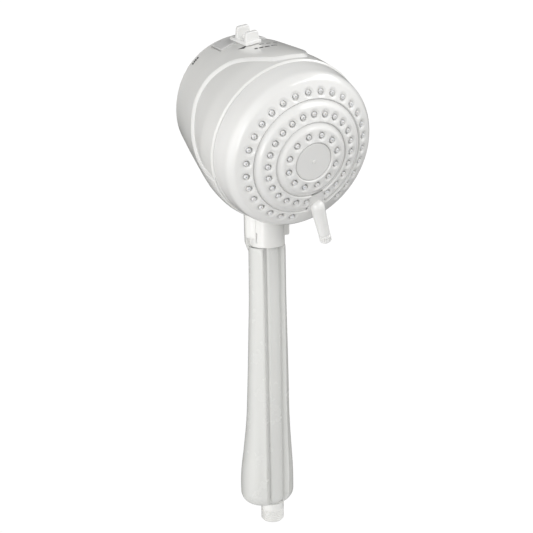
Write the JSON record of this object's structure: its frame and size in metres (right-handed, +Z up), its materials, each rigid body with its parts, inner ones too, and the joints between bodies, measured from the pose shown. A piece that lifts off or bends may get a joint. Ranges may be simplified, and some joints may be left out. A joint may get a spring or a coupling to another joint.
{
  "type": "handheld shower head",
  "caption": "Hand shower with a deep filter drum, a turning spray face with three jet rings and a lever, a top selector and a fluted handle.",
  "frame": {"origin": "centre of the hose end of the inlet, at its lowest face", "axes": "+Z up the handle to the drum, -Y the way the spray face looks, X across the symmetry plane"},
  "size_m": [0.1097, 0.1216, 0.3511],
  "materials": {
    "white_shell": "glossy white moulded plastic",
    "white_trim": "glossy white trim plastic",
    "white_grip": "satin to glossy white grip plastic",
    "white_satin": "satin white plastic",
    "jet_rubber": "soft white silicone",
    "seal_rubber": "black sealing rubber",
    "inner_plastic": "grey acetal inner part",
    "filter_fibre": "wound filter fibre",
    "steel": "stainless steel",
    "mark_ink": "dark printed mark"
  },
  "bodies": {
    "handle_and_drum": {"rear_housing": "white_shell", "middle_band": "white_shell", "seam_bead": "white_trim", "rear_cap": "white_shell", "rear_cap_oring": "seal_rubber", "setting_marks": "mark_ink", "neck_spigot": "white_satin", "neck_collar": "white_shell", "neck_yoke": "white_shell", "pivot_shaft": "inner_plastic", "pivot_screw": "steel", "valve_plate": "inner_plastic", "port_seals": "seal_rubber", "valve_plate_seal": "seal_rubber", "cartridge_case": "inner_plastic", "filter_media": "filter_fibre", "cartridge_core": "inner_plastic", "cartridge_front_cap": "inner_plastic", "cartridge_rear_cap": "inner_plastic", "cartridge_oring": "seal_rubber", "cartridge_seat": "inner_plastic", "handle_shell": "white_grip", "handle_front_strip": "white_grip", "flow_tube": "inner_plastic", "tube_orings": "seal_rubber", "tube_braces": "white_satin", "inlet_connector": "white_shell", "inlet_screen": "steel", "flow_restrictor": "inner_plastic", "restrictor_oring": "seal_rubber", "check_valve_body": "inner_plastic", "poppet_spring": "steel"},
    "spray_face": {"face_dome": "white_shell", "middle_disc": "white_shell", "inner_disc": "white_shell", "centre_cap": "white_satin", "centre_pip": "white_trim", "outer_nozzles": "jet_rubber", "middle_nozzles": "jet_rubber", "inner_nozzles": "jet_rubber", "selector_lever": "white_trim", "lever_tip": "white_trim", "face_backplate": "inner_plastic", "chamber_walls": "inner_plastic", "hub_oring": "seal_rubber"},
    "bypass_selector": {"bypass_knob": "white_trim", "slider_plate": "white_satin", "bypass_ring": "inner_plastic"},
    "turbine": {"massage_turbine": "inner_plastic"},
    "check_poppet": {"valve_poppet": "inner_plastic", "poppet_seal": "seal_rubber"}
  },
  "joints": [
    {"name": "spray_select", "type": "hinge", "parent": "handle_and_drum", "child": "spray_face", "pos_m": [0, -0.052, 0.27], "axis": [0, -0.9537, -0.3007], "range_deg": [-65, 25]},
    {"name": "bypass_select", "type": "hinge", "parent": "handle_and_drum", "child": "bypass_selector", "pos_m": [0, -0.052, 0.27], "axis": [0, -0.9537, -0.3007], "range_deg": [-24, 0]},
    {"name": "turbine_spin", "type": "hinge", "parent": "spray_face", "child": "turbine", "pos_m": [0, -0.052, 0.27], "axis": [0, -0.9537, -0.3007], "continuous": true},
    {"name": "check_valve_lift", "type": "slide", "parent": "handle_and_drum", "child": "check_poppet", "axis": [0, 0, 1], "range_m": [0, 0.003], "stiffness_N_per_m": 60, "springref_m": -0.003, "deforming": ["poppet_spring"]}
  ]
}
